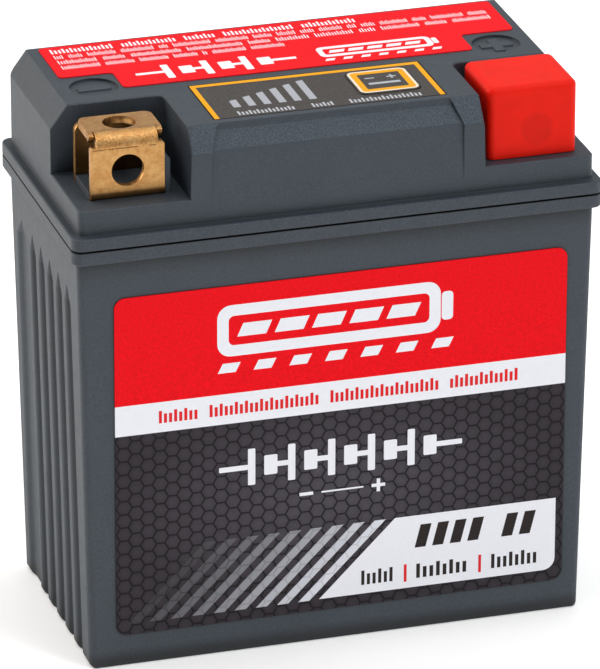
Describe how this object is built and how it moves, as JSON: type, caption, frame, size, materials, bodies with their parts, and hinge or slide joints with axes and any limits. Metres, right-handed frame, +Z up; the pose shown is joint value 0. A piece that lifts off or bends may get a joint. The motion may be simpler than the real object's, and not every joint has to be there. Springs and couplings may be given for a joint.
{
  "type": "motorcycle battery",
  "caption": "Small sealed lithium starter battery: fluted tapered case, stepped lid, brass bolt terminals, lift-off red terminal cover, charge indicator with test key.",
  "frame": {"origin": "centre of the base, on the surface it stands on", "axes": "+Z up; +Y from the labelled front with the terminal pockets to the back; +X to the right seen from the front, towards the positive terminal"},
  "size_m": [0.107, 0.056, 0.1122],
  "materials": {
    "case_plastic": "fine spark texture",
    "terminal_brass": "satin, stamped",
    "cap_red": "soft satin, slightly see-through",
    "label_front": "printed film",
    "label_top": "printed film",
    "panel_film": "printed film",
    "window_clear": "frosted window",
    "key_film": "printed film",
    "switch_black": "plain",
    "board_green": "solder mask",
    "led_white": "moulded",
    "guide_clear": "clear moulding",
    "screw_steel": "zinc plated",
    "holder_black": "moulded",
    "nickel": "nickel strip",
    "wire_copper": "tinned copper",
    "chip_black": "epoxy",
    "shunt_metal": "plain",
    "fish_paper": "fibre sheet",
    "foam_grey": "closed cell foam",
    "lead_black": "silicone jacket",
    "lead_red": "silicone jacket",
    "socket_white": "moulded",
    "cell_wrap": "heat-shrink sleeve"
  },
  "bodies": {
    "housing": {"balance_resistors": "chip_black", "base_foam": "foam_grey", "base_sheet": "fish_paper", "board_screws": "screw_steel", "cable_sockets": "socket_white", "case": "case_plastic", "cell_1": "cell_wrap", "cell_2": "cell_wrap", "cell_3": "cell_wrap", "cell_4": "cell_wrap", "cell_5": "cell_wrap", "cell_6": "cell_wrap", "cell_7": "cell_wrap", "cell_8": "cell_wrap", "cell_holder_high": "holder_black", "cell_holder_low": "holder_black", "cell_rings": "fish_paper", "charge_panel": "panel_film", "controller_chip": "chip_black", "cover_sheet": "fish_paper", "current_shunts": "shunt_metal", "front_label": "label_front", "indicator_board": "board_green", "indicator_cable": "lead_black", "indicator_screws": "screw_steel", "lead_lugs": "wire_copper", "level_leds": "led_white", "level_windows": "window_clear", "lid": "case_plastic", "light_guide": "guide_clear", "main_board": "board_green", "negative_lead": "lead_black", "negative_terminal": "terminal_brass", "positive_lead": "lead_red", "positive_terminal": "terminal_brass", "power_switches": "chip_black", "sense_leads": "wire_copper", "side_foam_left": "foam_grey", "side_foam_right": "foam_grey", "strip_low_left": "nickel", "strip_low_right": "nickel", "strip_middle": "nickel", "strip_negative": "nickel", "strip_positive": "nickel", "switch_body": "switch_black", "top_label": "label_top"},
    "cover": {"terminal_cap": "cap_red"},
    "key": {"test_button": "key_film"},
    "plunger": {"switch_plunger": "switch_black"}
  },
  "joints": [
    {"name": "cap_lift", "type": "slide", "parent": "housing", "child": "cover", "axis": [0, 0, 1], "range_m": [0, 0.03]},
    {"name": "button_press", "type": "slide", "parent": "housing", "child": "key", "axis": [0, 0, -1], "range_m": [0, 0.0005], "stiffness_N_per_m": 500},
    {"name": "plunger_press", "type": "slide", "parent": "housing", "child": "plunger", "axis": [0, 0, -1], "range_m": [0, 0.0005]}
  ],
  "couplings": [
    {"joint": "plunger_press", "follows": "button_press", "ratio": 1}
  ]
}
